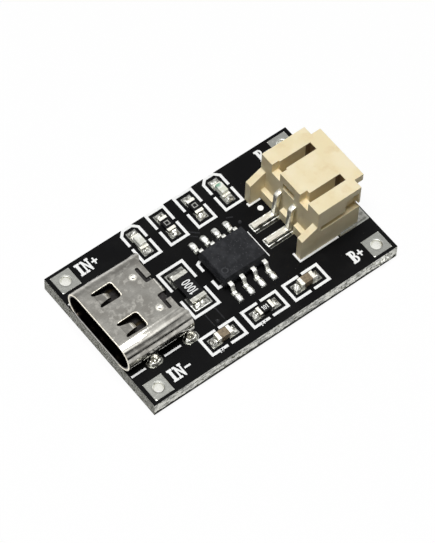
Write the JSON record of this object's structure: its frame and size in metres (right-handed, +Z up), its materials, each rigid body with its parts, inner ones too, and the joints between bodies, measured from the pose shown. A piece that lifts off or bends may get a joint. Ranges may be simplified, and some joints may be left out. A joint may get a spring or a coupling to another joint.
{
  "type": "lithium battery charger module",
  "caption": "Small black circuit board that charges a lithium cell: a USB-C input socket at one end, a charging chip in the middle and a cream cell connector at the other.",
  "frame": {"origin": "centre of the board's underside, which is also the bottom centre of the bounding box", "axes": "+X along the board from the input socket to the cell connector, +Y across the board to the far side, +Z up through the board to the parts"},
  "size_m": [0.0272, 0.0162, 0.0074],
  "materials": {
    "laminate": "glass fibre laminate, grey green, rough sawn edges",
    "mask": "black solder mask, glossy",
    "print": "white printed ink, matt",
    "tinned_pads": "tinned copper, slightly uneven",
    "solder": "bright solder with a soft sheen",
    "shell_steel": "formed sheet, warm grey, mottled",
    "moulding": "dark moulded insulator",
    "contact_gold": "plated contact strips",
    "housing_cream": "cream moulded housing, satin",
    "pin_tin": "tinned connector pins",
    "chip_black": "black moulding compound, fine matt grain",
    "lead_tin": "tinned leads",
    "resistor_coat": "black glaze over a ceramic body",
    "end_metal": "tinned end caps",
    "capacitor_body": "brown grey fired ceramic",
    "lamp_base": "pale carrier board",
    "lamp_lens_white": "milky clear resin",
    "lamp_lens_green": "milky clear resin, faint green"
  },
  "bodies": {
    "root": {"board_core": "laminate", "capacitor_bodies": "capacitor_body", "capacitor_ends": "end_metal", "cell_housing": "housing_cream", "cell_pins": "pin_tin", "cell_tabs": "pin_tin", "chip_body": "chip_black", "chip_leads": "lead_tin", "chip_solder": "solder", "input_contacts": "contact_gold", "input_moulding": "moulding", "input_shell": "shell_steel", "lamp_bases": "lamp_base", "lamp_ends": "end_metal", "lamp_lens_cell": "lamp_lens_green", "lamp_lens_input": "lamp_lens_white", "leg_pads": "tinned_pads", "leg_solder": "solder", "mask_bottom": "mask", "mask_top": "mask", "part_pads": "tinned_pads", "pin_solder": "solder", "print_frames": "print", "print_outlines": "print", "resistor_bodies": "resistor_coat", "resistor_ends": "end_metal", "sense_body": "resistor_coat", "sense_ends": "end_metal", "sense_solder": "solder", "small_solder": "solder", "wire_pads": "tinned_pads"}
  },
  "joints": []
}
